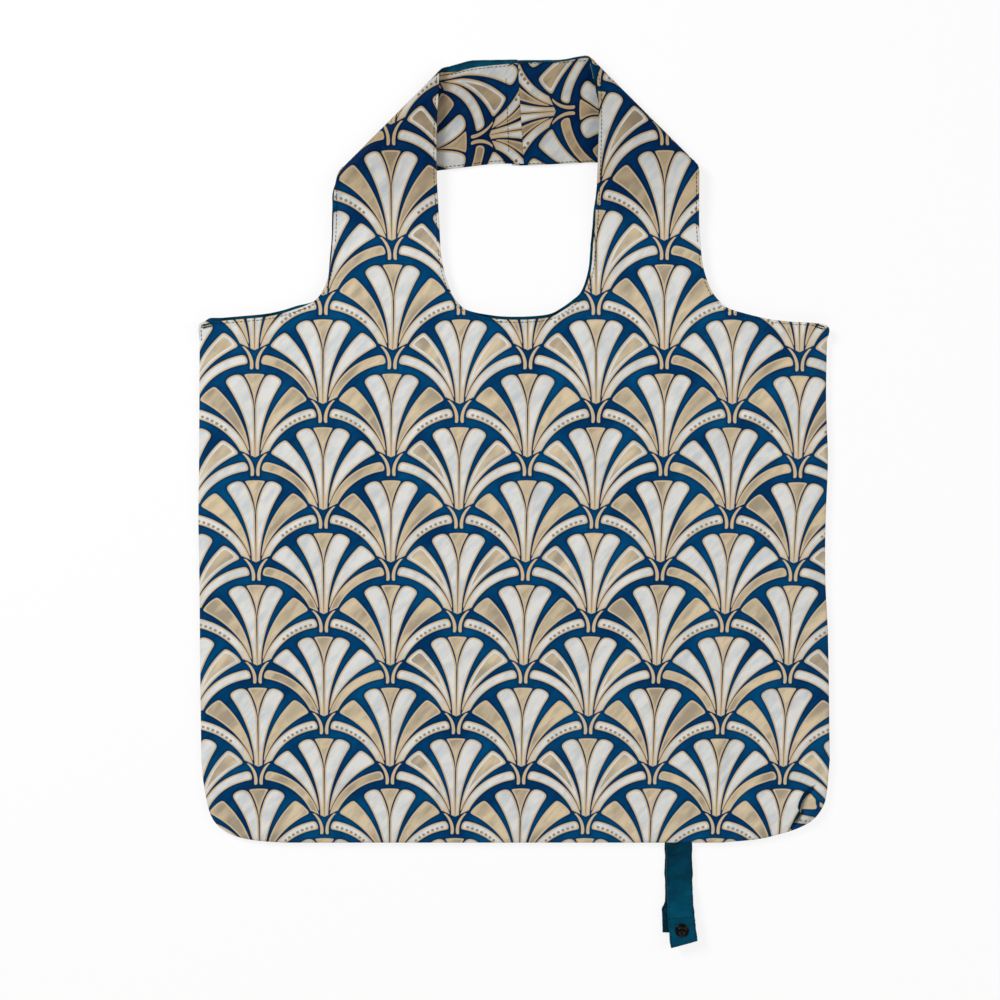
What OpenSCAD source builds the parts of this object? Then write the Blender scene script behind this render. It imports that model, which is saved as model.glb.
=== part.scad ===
// Foldable tote bag, lying flat with its front upwards.
// X runs across the bag, Y runs up the bag towards the handles and Z is up.
// The origin is on the resting surface, at the middle of the whole outline.

/* [Bag] */
// Width of the bag between its side seams
bag_w = 500; // [460:1:540]
// Height of the side seams above the bottom seam
side_h = 414; // [400:1:430]
// Thickness of the bag as it lies, front and back together
bag_t = 8; // [7.6:0.1:10]
// Thickness of the cloth, with its lay and creases
cloth_t = 0.8; // [0.6:0.1:0.9]
// Radius of the tucked bottom corners
corner_r = 48; // [40:1:60]
// Distance from the middle of the bag to each side fold
side_fold_x = 150; // [148:1:156]

/* [Mouth] */
// Half of the width between the handle straps
neck_half_w = 63; // [60:1:66]
// Height of the bottom of the neckline
neck_y = 420; // [414:1:421]
// Radius of the corners of the neckline
neck_r = 55; // [40:1:55]
// Radius where each strap flares into the side of the mouth
arm_r = 30; // [26:1:32]
// Slope of the side of the mouth, in degrees
arm_slope = 8.5; // [6:0.5:12]
// Width of the turned hems
hem_w = 6; // [4:0.5:7]

/* [Handles] */
// Height of the crease where the handles fold down
crease_y = 476; // [476:1:482]
// Height of the top edge of the folded handles
handle_top_y = 625; // [615:1:632]
// Width of a handle strap
strap_w = 82; // [78:1:84]
// Distance of the joining seam from the middle of the handles
handle_seam_x = 6; // [-8:1:8]

/* [Closing straps] */
// Width of a closing strap
tie_w = 22; // [20:1:24]
// Thickness of a closing strap
tie_t = 1; // [0.8:0.1:1.2]
// Length of the upper closing strap
upper_tie_l = 82; // [80:1:84]
// Length of the lower closing strap
lower_tie_l = 73; // [71:1:75]
// Distance of the upper closing strap from the middle of the bag
upper_tie_x = 132; // [125:1:134]
// Distance of the lower closing strap from the middle of the bag
lower_tie_x = 129.5; // [125:0.5:134]
// Distance from the bottom seam to the bend of each closing strap
bend_l = 40; // [38:1:42]

/* [Snap] */
// Diameter of the snap's caps
cap_d = 12; // [11:0.5:12.5]
// Diameter of the socket and of the stud plate
snap_d = 11; // [10:0.5:11]
// Radius of the bore in the socket
bore_r = 2.15; // [2.1:0.05:2.4]
// Radius of the stud
stud_r = 2.05; // [1.9:0.05:2.05]

/* [Hidden] */

print_colour = "#8f9a9c";
inside_colour = "#0b4a5c";
thread_colour = "#12303f";
snap_colour = "#16181a";

$fn = 64;
arc_steps = 14;                                     // straight steps in each round of an outline
gap = 0.3;                                          // clearance between pieces that fold apart
origin_y = (handle_top_y - upper_tie_l) / 2;        // middle of the whole outline
half_w = bag_w / 2;
strap_out = neck_half_w + strap_w;                  // outer edge of a handle strap
bar_y = handle_top_y - strap_w;                     // lower edge of the handles' top run
arm_start_y = side_h + (half_w - strap_out) * tan(arm_slope)
    + arm_r * (cos(arm_slope) - (1 - sin(arm_slope)) * tan(arm_slope));
front_z = bag_t - cloth_t;                          // underside of the front panel
hollow_h = front_z - cloth_t;                       // height of the hollow between the panels

// Levels of the four layers of the folded handles, from the floor up
front_bar_z = 0;
back_bar_z = 2;
back_leg_z = 3.4;
front_leg_z = 4.8;
seam_t = 0.5;                                       // thickness of the handles' joining seam
seam_w = 9;                                         // width of the handles' joining seam
fold_inset = 1.6;                                   // the back loop folds inside the front one

// Levels of the closing straps at their tips, from the floor up
cap_t = 1.4;
turning_t = 0.8;                                    // the turned-under end of a strap
turning_l = 24;                                     // length of that turned-under end
lower_tip_z = cap_t + turning_t;
upper_tip_z = 7.4;
lower_root_z = 0.3;
upper_root_z = 2.6;
tie_gap = 0.8;                                      // from the bottom seam to a strap's root
root_l = 8;                                         // length of strap caught inside the seam

// Snap, from the strap's face up
plate_t = 1;                                        // plate of the socket and of the stud
socket_r = 3.7;                                     // outside of the socket's ring
socket_h = 2.2;                                     // height of the ring, and depth of its bore
stud_h = 1.8;                                       // height of the stud
post_r = 0.9;                                       // post that rivets each half through the strap
hole_r = 1;                                         // hole that the post passes through
head_r = 1.6;                                       // riveted head of the post
head_t = 0.5;
socket_inset = 11.4;                                // from the upper strap's end to the snap
stud_inset = 12;                                    // from the lower strap's end to the snap

function arc(cx, cy, r, from, to) =
    [for (i = [0 : arc_steps]) let (a = from + (to - from) * i / arc_steps)
        [cx + r * cos(a), cy + r * sin(a)]];

function mirrored(points) = [for (i = [len(points) - 1:-1:0]) [-points[i][0], points[i][1]]];

// Left half of a panel's outline, taken in by d on its outer edges
function left_outline(d = 0) = concat(
    [[-half_w + corner_r, d]],
    arc(-half_w + corner_r, corner_r, corner_r - d, 270, 180),
    [[-half_w + d, side_h - d]],
    arc(-strap_out - arm_r, arm_start_y, arm_r + d, arm_slope - 90, 0),
    [[-strap_out + d, crease_y]]
);

// Left half of the U of the neckline, let out by d
function left_neckline(d = 0) = concat(
    [[-neck_half_w - d, crease_y]],
    arc(-neck_half_w + neck_r, neck_y + neck_r, neck_r + d, 180, 270)
);

module place() translate([0, -origin_y, 0]) children();

module whole(left) polygon(concat(left, mirrored(left)));

module panel_outline() whole(concat(left_outline(), left_neckline()));

module middle_strip() translate([-side_fold_x, -1]) square([2 * side_fold_x, crease_y + 2]);

module left_strip() translate([-half_w - 1, -1]) square([half_w + 1 - side_fold_x - gap, crease_y + 2]);

// A band of width w and thickness t that climbs from one [y, z] to another
module ramp(w, t, from, to) rotate([90, 0, 90]) linear_extrude(w)
    polygon([from, to, to + [0, t], from + [0, t]]);

module flip() mirror([1, 0, 0]) children();

module layer(z, t) place() translate([0, 0, z]) linear_extrude(t) children();

// Middle of the bag

module middle_panel(z) color(print_colour) layer(z, cloth_t) intersection() {
    panel_outline();
    middle_strip();
}

module bottom_seam() color(print_colour) layer(cloth_t, hollow_h)
    translate([-side_fold_x, 0]) square([2 * side_fold_x, cloth_t]);

module bottom_allowance() color(inside_colour) layer(bag_t / 2, cloth_t)
    translate([-side_fold_x, cloth_t]) square([2 * side_fold_x, root_l]);

module closing_strap_roots() color(inside_colour) {
    layer(upper_root_z, cloth_t)
        translate([upper_tie_x - tie_w / 2, cloth_t]) square([tie_w, root_l]);
    layer(cloth_t + gap, cloth_t)
        translate([lower_tie_x - tie_w / 2, cloth_t]) square([tie_w, root_l]);
}

module neck_hem(z) color(inside_colour) layer(z, cloth_t) difference() {
    whole(left_neckline(hem_w));
    whole(left_neckline());
}

// The hem along the left side of the mouth and the outside of the strap
module arm_hem_outline() difference() {
    whole(left_outline());
    whole(left_outline(hem_w));
    translate([-half_w, 0]) square([bag_w, side_h - hem_w]);
    translate([-half_w, 0]) square([cloth_t, side_h]);
    translate([-neck_half_w, 0]) square([bag_w, crease_y]);
}

module strap_hem(z) layer(z, cloth_t) intersection() {
    arm_hem_outline();
    middle_strip();
}

module strap_hems(z) color(inside_colour) {
    strap_hem(z);
    flip() strap_hem(z);
}

// Side of the bag, as the left one

module side_panel(z) color(print_colour) layer(z, cloth_t) intersection() {
    panel_outline();
    left_strip();
}

module side_seam() color(print_colour) layer(cloth_t, hollow_h)
    translate([-half_w, corner_r]) square([cloth_t, side_h - corner_r]);

module side_allowance() color(inside_colour) layer(bag_t / 2, cloth_t)
    translate([-half_w + cloth_t, corner_r]) square([root_l, side_h - corner_r - hem_w]);

module corner_tuck() color(print_colour) layer(cloth_t, hollow_h) intersection() {
    difference() {
        polygon(left_outline());
        polygon(left_outline(cloth_t));
    }
    translate([-half_w, 0]) square(corner_r);
}

module side_bottom_seam() color(print_colour) layer(cloth_t, hollow_h)
    translate([-half_w + corner_r, 0]) square([half_w - corner_r - side_fold_x - gap, cloth_t]);

module arm_hem(z) color(inside_colour) layer(z, cloth_t) intersection() {
    arm_hem_outline();
    left_strip();
}

module side_bartack() color(thread_colour) layer(bag_t, cloth_t / 2)
    translate([-half_w + 1, side_h - 4]) square([7, 2]);

// Handles: each loop is two straps that fold at 45 degrees and join at a seam

// A strap from the crease up to its level in the folded stack
module strap_ramp(from_z, to_z) translate([-strap_out, 0, 0])
    ramp(strap_w, cloth_t, [crease_y + gap, from_z], [bar_y, to_z]);

// The corner triangle of the fold, moved in by d from the fold line
module fold_triangle(d) polygon([
    [-strap_out + d, bar_y],
    [-neck_half_w, bar_y],
    [-neck_half_w, handle_top_y - d]
]);

module fold_wall(d) difference() {
    fold_triangle(d);
    fold_triangle(d + cloth_t * sqrt(2));
}

module handle_half(start_z, leg_z, bar_z, d, end_x) color(print_colour) place() {
    strap_ramp(start_z, leg_z);
    translate([0, 0, leg_z]) linear_extrude(cloth_t) fold_triangle(d);
    translate([0, 0, bar_z]) linear_extrude(leg_z - bar_z + cloth_t) fold_wall(d);
    translate([0, 0, bar_z]) linear_extrude(cloth_t) polygon([
        [-strap_out + d, bar_y],
        [end_x, bar_y],
        [end_x, handle_top_y - d],
        [-neck_half_w, handle_top_y - d]
    ]);
}

module handle_seam(z) color(inside_colour) layer(z, seam_t)
    translate([handle_seam_x - seam_w, bar_y]) square([seam_w, strap_w - fold_inset]);

// Closing straps

// A strap's first stretch, between its root and its bend
module tie_base(x, root_z, tip_z) color(inside_colour) place() translate([x - tie_w / 2, 0, 0])
    ramp(tie_w, tie_t, [gap - bend_l, tip_z], [-tie_gap, root_z]);

module tie_layer(x, z, t, from_l, to_l, hole_l) color(inside_colour) layer(z, t) difference() {
    translate([x - tie_w / 2, -to_l]) square([tie_w, to_l - from_l]);
    translate([x, -hole_l]) circle(hole_r);
}

// Plate of a snap half, with a seat for the head of its post
module snap_plate(x, z, l) place() translate([x, -l, z]) difference() {
    cylinder(d = snap_d, h = plate_t);
    translate([0, 0, -1]) cylinder(r = hole_r, h = plate_t + 2);
    translate([0, 0, plate_t - head_t]) cylinder(r = head_r + gap / 2, h = plate_t);
}

module snap_ring(x, z, l, outer_r, inner_r, h) place() translate([x, -l, z]) difference() {
    cylinder(r = outer_r, h = h);
    translate([0, 0, -1]) cylinder(r = inner_r, h = h + 2);
}

module snap_cap(x, z, l) color(snap_colour) place() translate([x, -l, z]) {
    cylinder(d1 = cap_d - 2, d2 = cap_d, h = cap_t / 2);
    translate([0, 0, cap_t / 2]) cylinder(d = cap_d, h = cap_t / 2);
    translate([0, 0, cap_t]) cylinder(r = post_r, h = turning_t + tie_t + plate_t - head_t);
    translate([0, 0, cap_t + turning_t + tie_t + plate_t - head_t]) cylinder(r = head_r, h = head_t);
}

socket_l = upper_tie_l - socket_inset;
stud_l = lower_tie_l - stud_inset;

module snap_socket() color(snap_colour) {
    snap_plate(upper_tie_x, upper_tip_z + tie_t, socket_l);
    snap_ring(upper_tie_x, upper_tip_z + tie_t + plate_t, socket_l, socket_r, bore_r, socket_h);
}

module snap_stud() color(snap_colour) {
    snap_plate(lower_tie_x, lower_tip_z + tie_t, stud_l);
    snap_ring(lower_tie_x, lower_tip_z + tie_t + plate_t, stud_l, stud_r, stud_r / 2, stud_h);
}

middle_panel(front_z);  // front_panel
middle_panel(0);  // back_panel
bottom_seam();
bottom_allowance();
closing_strap_roots();
neck_hem(front_z - cloth_t);  // neck_hem_front
neck_hem(cloth_t);  // neck_hem_back
strap_hems(front_z - cloth_t);  // strap_hems_front
strap_hems(cloth_t);  // strap_hems_back

side_panel(front_z);  // front_panel_left
side_panel(0);  // back_panel_left
side_seam();  // side_seam_left
side_allowance();  // side_allowance_left
corner_tuck();  // corner_tuck_left
side_bottom_seam();  // bottom_seam_left
arm_hem(front_z - cloth_t);  // arm_hem_front_left
arm_hem(cloth_t);  // arm_hem_back_left
side_bartack();  // side_bartack_left

flip() side_panel(front_z);  // front_panel_right
flip() side_panel(0);  // back_panel_right
flip() side_seam();  // side_seam_right
flip() side_allowance();  // side_allowance_right
flip() corner_tuck();  // corner_tuck_right
flip() side_bottom_seam();  // bottom_seam_right
flip() arm_hem(front_z - cloth_t);  // arm_hem_front_right
flip() arm_hem(cloth_t);  // arm_hem_back_right
flip() side_bartack();  // side_bartack_right

handle_half(front_z, front_leg_z, front_bar_z, 0, handle_seam_x);  // front_handle_left
flip() handle_half(front_z, front_leg_z, front_bar_z, 0, -handle_seam_x);  // front_handle_right
handle_seam(front_bar_z + cloth_t);  // front_handle_seam
handle_half(0, back_leg_z, back_bar_z, fold_inset, handle_seam_x);  // back_handle_left
flip() handle_half(0, back_leg_z, back_bar_z, fold_inset, -handle_seam_x);  // back_handle_right
handle_seam(back_bar_z - seam_t);  // back_handle_seam

tie_base(upper_tie_x, upper_root_z, upper_tip_z);  // upper_strap_base
tie_layer(upper_tie_x, upper_tip_z, tie_t, bend_l + gap, upper_tie_l, socket_l);  // upper_strap_tip
tie_layer(upper_tie_x, upper_tip_z - turning_t, turning_t, upper_tie_l - turning_l, upper_tie_l, socket_l);  // upper_strap_turning
snap_socket();
snap_cap(upper_tie_x, upper_tip_z - turning_t - cap_t, socket_l);  // snap_socket_cap

tie_base(lower_tie_x, lower_root_z, lower_tip_z);  // lower_strap_base
tie_layer(lower_tie_x, lower_tip_z, tie_t, bend_l + gap, lower_tie_l, stud_l);  // lower_strap_tip
tie_layer(lower_tie_x, lower_tip_z - turning_t, turning_t, lower_tie_l - turning_l, lower_tie_l, stud_l);  // lower_strap_turning
snap_stud();
snap_cap(lower_tie_x, 0, stud_l);  // snap_stud_cap
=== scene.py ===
import math

import bpy
import numpy as np
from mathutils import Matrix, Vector
from mathutils.geometry import delaunay_2d_cdt
from mathutils.kdtree import KDTree


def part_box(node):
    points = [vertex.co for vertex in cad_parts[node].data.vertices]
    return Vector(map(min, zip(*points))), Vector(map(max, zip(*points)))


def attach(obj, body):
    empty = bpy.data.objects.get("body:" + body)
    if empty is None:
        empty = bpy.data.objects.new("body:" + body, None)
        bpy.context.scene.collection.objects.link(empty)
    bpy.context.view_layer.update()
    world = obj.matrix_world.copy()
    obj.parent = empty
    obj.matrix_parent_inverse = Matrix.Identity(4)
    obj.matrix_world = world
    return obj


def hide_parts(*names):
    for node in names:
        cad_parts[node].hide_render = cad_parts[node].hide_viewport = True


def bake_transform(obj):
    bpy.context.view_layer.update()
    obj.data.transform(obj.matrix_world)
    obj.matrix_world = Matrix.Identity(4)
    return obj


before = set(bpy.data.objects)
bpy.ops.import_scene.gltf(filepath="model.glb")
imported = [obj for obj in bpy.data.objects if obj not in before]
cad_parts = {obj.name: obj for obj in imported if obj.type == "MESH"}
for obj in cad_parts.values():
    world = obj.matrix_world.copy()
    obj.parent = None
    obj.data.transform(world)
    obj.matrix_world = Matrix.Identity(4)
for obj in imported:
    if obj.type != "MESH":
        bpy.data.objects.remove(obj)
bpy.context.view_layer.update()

# Lengths are in millimetres in the bag's own plan: x across, y up from the bottom seam, z off the table.
mm = 0.001
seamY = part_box("bottom_seam")[0][1] / mm
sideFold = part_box("front_panel")[1][0] / mm            # x of the side folds
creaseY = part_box("front_panel")[1][1] / mm - seamY     # y where the handles fold down
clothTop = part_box("front_panel")[1][2] / mm


def place(points):
    flat = np.asarray(points, float).reshape(-1, 3)
    return (flat + [0, seamY, 0]) * mm


def smooth(low, high, value):
    t = np.clip((np.asarray(value, float) - low) / (high - low), 0, 1)
    return t * t * (3 - 2 * t)


def bump(value, width):
    return np.exp(-(np.asarray(value, float) / width) ** 2)


def measure(line):
    steps = np.linalg.norm(np.diff(line, axis=0), axis=1)
    return np.concatenate([[0], np.cumsum(steps)])


def spread(line, spacing):
    # the same line with its points evenly spaced
    line = np.asarray(line, float)
    along = measure(line)
    count = max(2, int(round(along[-1] / spacing)) + 1)
    want = np.linspace(0, along[-1], count)
    return np.stack([np.interp(want, along, line[:, k]) for k in range(line.shape[1])], axis=1)


def curve(points, spacing=2.5):
    # a smooth line through the points
    points = np.asarray(points, float)
    ends = np.vstack([2 * points[0] - points[1], points, 2 * points[-1] - points[-2]])
    t = np.linspace(0, 1, 16, endpoint=False)[:, None]
    out = []
    for a, b, c, d in zip(ends, ends[1:], ends[2:], ends[3:]):
        out.append(0.5 * (2 * b + (c - a) * t + (2 * a - 5 * b + 4 * c - d) * t ** 2
                          + (3 * b - a - 3 * c + d) * t ** 3))
    return spread(np.vstack(out + [points[-1:]]), spacing)


def offset(line, distance):
    # the line moved to its left by distance
    line = np.asarray(line, float)
    way = np.gradient(line, axis=0)
    way /= np.linalg.norm(way, axis=1)[:, None]
    return line + distance * np.stack([-way[:, 1], way[:, 0]], axis=1)


def locate(points, line):
    # distance of each point from a line, and how far along the line it lies
    points, line = np.asarray(points, float)[:, :2], np.asarray(line, float)
    way, along = np.diff(line, axis=0), measure(line)
    tree = KDTree(len(line))
    for k, (x, y) in enumerate(line):
        tree.insert((x, y, 0), k)
    tree.balance()
    near = np.array([tree.find((x, y, 0))[1] for x, y in points], int)
    best, where = np.full(len(points), 1e9), np.zeros(len(points))
    for shift in (-1, 0):
        k = np.clip(near + shift, 0, len(way) - 1)
        t = np.clip(((points - line[k]) * way[k]).sum(axis=1) / (way[k] ** 2).sum(axis=1), 0, 1)
        far = np.linalg.norm(points - line[k] - t[:, None] * way[k], axis=1)
        closer = far < best
        best = np.where(closer, far, best)
        where = np.where(closer, along[k] + t * (along[k + 1] - along[k]), where)
    return best, where


def gap(points, line):
    return locate(points, line)[0]


def wobble(value, seed, period):
    # a smooth uneven wave between -1 and 1
    value = np.asarray(value, float) * 2 * math.pi / period
    return (np.sin(value + seed) + 0.6 * np.sin(1.83 * value + 2.1 * seed)
            + 0.4 * np.sin(3.1 * value + 4.7 * seed)) / 1.6


# Settings for the bag's outline

outline = {
    "leftSide": [(-250.5, 66), (-251.4, 140), (-252, 210), (-252.8, 258), (-252.3, 305), (-251.8, 400)],
    "rightSide": [(249, 400), (248.4, 353), (249.8, 305), (248, 257), (247.8, 210), (250, 160),
                  (251.3, 66)],
    "leftCorner": [(-250.5, 66), (-249, 50), (-246, 33), (-242.5, 21), (-236, 12.5), (-224, 5.5),
                   (-206, 1.6), (-184, 0)],
    "rightCorner": [(165, 0), (194, 2.8), (212, 7), (226, 11.5), (237, 17.5), (244, 25.5), (248.5, 37),
                    (251.3, 66)],
    "leftArm": [(-251.8, 400), (-250.8, 414.6), (-233, 416.4), (-217, 417.8), (-200, 419.4), (-187, 422),
                (-175.5, 425.6), (-166, 429), (-158, 434), (-152, 443), (-148, 456), (-145.5, 476)],
    "rightArm": [(148, 476), (149.5, 462), (152.7, 450), (157, 440), (163, 432.2), (170, 426.5),
                 (186, 421.6), (204, 417.6), (218, 416), (248.3, 412.8), (249, 400)],
    "neck": [(-59.8, 476), (-58.5, 466), (-56.4, 456), (-51.5, 440.5), (-46, 431.5), (-38, 424.6),
             (-20, 418.6), (2, 417.2), (25.6, 418.9), (37, 424), (47, 431), (55, 439.5), (60.5, 457),
             (62.3, 476)],
    "seamRound": 7,             # how far in from a seam the cloth rolls over
    "seamZ": 3.9,
    "frontZ": 6.9,
    "backZ": 0.6,
    "stitchIn": 2.0,            # from a hemmed edge to its stitches
    "spacing": 3.4,
}
hemRows = (1.0, outline["stitchIn"], 3.2, 4.6, 6.8)        # lines of points along a hem, by distance from it


def backShift(points):
    # the back layer stands a little proud of the front one along parts of the mouth and the straps
    x, y = points[:, 0], points[:, 1]

    def between(value, start, full, low, end):
        return smooth(start, full, value) * (1 - smooth(low, end, value))

    arm = 3.0 * between(x, -250, -243, -175, -150) * between(y, 380, 410, 425, 440)
    neck = 3.0 * between(x, -48, -18, 40, 66) * between(y, 400, 412, 450, 476)
    right = 2.0 * between(x, 20, 56, 70, 90) * between(y, 418, 440, 496, 526)
    right = right + 2.0 * between(x, 54, 60, 70, 90) * smooth(590, 600, y)
    left = 1.6 * (1 - smooth(-140, -120, x)) * between(y, 440, 470, 516, 530)
    return np.stack([-right - left, arm + neck], axis=1)


def bodyLines(back):
    lines = {}
    for name in ("leftArm", "rightArm", "neck"):
        line = curve(outline[name], 2)
        lines[name] = line + backShift(line) if back else line
    for name in ("leftSide", "rightSide", "leftCorner", "rightCorner"):
        lines[name] = curve(outline[name], 2.5)
    bottom = [outline["leftCorner"][-1], outline["rightCorner"][0]]
    lines["bottom"] = spread(bottom, 2.5)
    return lines


def bodyBorder(lines):
    # all round one layer of the body, back to where it starts
    left = spread([lines["leftArm"][-1], lines["neck"][0]], 2.5)
    right = spread([lines["neck"][-1], lines["rightArm"][0]], 2.5)
    foot = chain(lines["leftCorner"], lines["bottom"], lines["rightCorner"])[::-1]
    return chain(lines["leftSide"], lines["leftArm"], left, lines["neck"], right, lines["rightArm"],
                 lines["rightSide"], foot)


def seamLine(lines):
    # the sewn edges, down the left side, along the bottom and up the right side
    return chain(lines["leftSide"][::-1], lines["leftCorner"], lines["bottom"], lines["rightCorner"],
                 lines["rightSide"][::-1])


def chain(*lines):
    # joins lines end to end, leaving out repeated points
    out = [lines[0]]
    for line in lines[1:]:
        out.append(line[1:])
    return np.vstack(out)


def triangulate(border, spacing, rows=()):
    # fills a closed border with even triangles, with extra rows of points kept as they are
    border = np.asarray(border, float)
    low, high = border.min(0), border.max(0)
    xs = np.arange(low[0], high[0], spacing)
    ys = np.arange(low[1], high[1], spacing * math.sqrt(0.75))
    grid = np.array([(x + (row % 2) * spacing / 2, y) for row, y in enumerate(ys) for x in xs])
    clear = gap(grid, np.vstack([border, border[:1]])) > 0.6 * spacing
    for row in rows:
        clear &= gap(grid, row) > 0.55 * spacing
    fixed = [border]
    edges = [(k, (k + 1) % len(border)) for k in range(len(border))]
    for row in rows:
        fixed.append(np.asarray(row, float))
    points = np.vstack(fixed + [grid[clear]])
    found = delaunay_2d_cdt([Vector(p) for p in points], edges, [], 1, 1e-5)
    return np.array([tuple(v) for v in found[0]]), [tuple(f) for f in found[2]]


# Print

fan = {
    "columnStep": 108.9,        # from one fan to the next across the cloth
    "rowStep": 86.4,            # and up the cloth
    "column": -99.6,            # a column of fans on the front
    "backColumn": -119.5,       # and on the back
    "row": 395.2,               # the foot of one fan
    "foot": -20,                # the lowest that a fan's leaves reach below it
}


def printPlace(points, back=False):
    # where each point of the cut cloth lies in the repeat of the print, which is a little uneven
    x, y = points[:, 0], points[:, 1]
    low, high = np.clip(400 - y, 0, None), np.clip(y - fan["row"], 0, None)
    v = y - fan["row"] - 0.000118 * low ** 2 - 0.00021 * high ** 2
    v = v + 1.8 * smooth(150, 240, x) * smooth(150, 300, y) + 1.6 * bump(y - 510, 30)
    pull = 0.0225 * np.clip(1 - y / 270, 0, None)
    u = x + (x + 154) * pull - (fan["backColumn"] if back else fan["column"])
    u = u + 0.000076 * (x + 100) * np.clip(354 - y, 0, None) + 1.2 * smooth(150, 240, x) - 0.8
    u = u + 2.0 * smooth(-205, -245, x) * smooth(420, 380, y) * smooth(20, 120, y)
    if not back:
        u = u - 2.2 * bump(x + 80, 50) * bump(y - 425, 50)
    return np.stack([u, v], axis=1)


# Node building

class Wire:
    # a socket that takes arithmetic
    def __init__(self, graph, socket):
        self.graph = graph
        self.socket = socket

    def calc(self, operation, *others):
        return self.graph.add("ShaderNodeMath", {"operation": operation}, [self, *others])

    def __add__(self, other):
        return self.calc("ADD", other)

    __radd__ = __add__

    def __sub__(self, other):
        return self.calc("SUBTRACT", other)

    def __rsub__(self, other):
        return self.graph.add("ShaderNodeMath", {"operation": "SUBTRACT"}, [other, self])

    def __mul__(self, other):
        return self.calc("MULTIPLY", other)

    __rmul__ = __mul__

    def __truediv__(self, other):
        return self.calc("DIVIDE", other)

    def __neg__(self):
        return self * -1

    def least(self, other):
        return self.calc("MINIMUM", other)

    def most(self, other):
        return self.calc("MAXIMUM", other)

    def roundMost(self, other, radius):
        return self.calc("SMOOTH_MAX", other, radius)

    def out(self, name):
        return Wire(self.graph, self.socket.node.outputs[name])


class Graph:
    def __init__(self, name):
        self.material = bpy.data.materials.new(name)
        self.material.use_nodes = True
        self.tree = self.material.node_tree
        self.tree.nodes.clear()
        self.end = self.tree.nodes.new("ShaderNodeOutputMaterial")

    def add(self, kind, settings=None, inputs=None, output=0):
        node = self.tree.nodes.new(kind)
        for key, value in (settings or {}).items():
            setattr(node, key, value)
        pairs = inputs.items() if isinstance(inputs, dict) else enumerate(inputs or [])
        for key, value in pairs:
            if isinstance(value, Wire):
                self.tree.links.new(value.socket, node.inputs[key])
            else:
                node.inputs[key].default_value = value
        return Wire(self, node.outputs[output])

    def step(self, value, low, high):
        # 0 below low, 1 above high
        return self.add("ShaderNodeMapRange", {}, [value, low, high, 0.0, 1.0])

    def mix(self, factor, a, b):
        node = self.tree.nodes.new("ShaderNodeMix")
        node.data_type = "RGBA"
        for key, value in (("Factor", factor), ("A", a), ("B", b)):
            socket = [s for s in node.inputs if s.name == key and (key == "Factor" or s.type == "RGBA")][0]
            if isinstance(value, Wire):
                self.tree.links.new(value.socket, socket)
            else:
                socket.default_value = value if key == "Factor" else (*value, 1)
        return Wire(self, [s for s in node.outputs if s.type == "RGBA"][0])

    def noise(self, place, scale, detail=2.0, rough=0.5):
        return self.add("ShaderNodeTexNoise", {}, {"Vector": place, "Scale": scale, "Detail": detail,
                                                   "Roughness": rough})

    def surface(self, **values):
        shader = self.add("ShaderNodeBsdfPrincipled", {}, {
            key: (*value, 1) if isinstance(value, tuple) and len(value) == 3 else value
            for key, value in values.items()})
        self.tree.links.new(shader.socket, self.end.inputs["Surface"])
        return self.material


def linear(*rgb):
    # a colour as it is seen, 0 to 255, as the light it reflects
    return tuple(c / 255 / 12.92 if c < 10.3 else ((c / 255 + 0.055) / 1.055) ** 2.4 for c in rgb)


# colours of the print, cloth and thread; cool, sand, deep and tealLight also paint the satin's sheen, and
# dot also paints shade on the handles
dyeAndSheen = {
    "ground": linear(0, 72, 116),
    "deep": linear(0, 48, 90),
    "shade": linear(0, 38, 74),
    "white": linear(218, 217, 213),
    "cool": linear(184, 191, 195),
    "tan": linear(162, 149, 128),
    "sand": linear(212, 194, 162),
    "outline": linear(202, 180, 145),
    "dot": linear(150, 134, 112),
    "teal": linear(0, 38, 54),
    "tealLight": linear(0, 80, 106),
    "thread": linear(5, 22, 34),
}


def circleThrough(a, b, c):
    # centre and radius of the arc through three points
    (ax, ay), (bx, by), (cx, cy) = a, b, c
    d = 2 * (ax * (by - cy) + bx * (cy - ay) + cx * (ay - by))
    aa, bb, cc = ax * ax + ay * ay, bx * bx + by * by, cx * cx + cy * cy
    x = (aa * (by - cy) + bb * (cy - ay) + cc * (ay - by)) / d
    y = (aa * (cx - bx) + bb * (ax - cx) + cc * (bx - ax)) / d
    return (x, y), math.hypot(ax - x, ay - y)


def edge(graph, place, arc, inside, grow=0.0):
    # distance past an arc, below zero on the side where the point inside lies
    (x, y), radius = circleThrough(*arc)
    far = graph.add("ShaderNodeVectorMath", {"operation": "DISTANCE"}, [place, (x, y, 0)], "Value")
    if math.hypot(inside[0] - x, inside[1] - y) < radius:
        return far - (radius + grow)
    return (radius - grow) - far


# One half of a fan, in millimetres from its foot. Each petal lies between arcs through three points.
petals = {
    "trumpetSide": [(0.1, 42), (3.0, 55), (7.9, 64.8)],
    "trumpetTop": [(-8, 64.7), (0, 65.3), (8, 64.7)],
    "innerSide": [(3.3, 4.6), (8.0, 29.6), (18.6, 53.6)],
    "innerTop": [(9.2, 64.2), (15.5, 63.9), (21.4, 59.6)],
    "outerTop": [(5.4, 9.6), (11.6, 29.6), (28.4, 53.6)],
    "outerEnd": [(31, 54.6), (37, 50.2), (41.6, 44.6)],
    "outerLow": [(4.6, 2.6), (17.0, 24.6), (38.4, 42.3)],
    "bandTop": [(6.2, 4.6), (16.4, 21.1), (44.9, 37)],
    "bandEnd": [(46.6, 37), (48.5, 33.8), (49.0, 30.4)],
    "bandLow": [(11.4, 3.6), (25.4, 20.6), (47.4, 29.9)],
    "leafOut": [(9.2, 0.4), (5.1, -5.6), (3.5, -17)],
    "leafIn": [(8.3, 0.8), (2.7, -6.2), (1.2, -17)],
}


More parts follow.
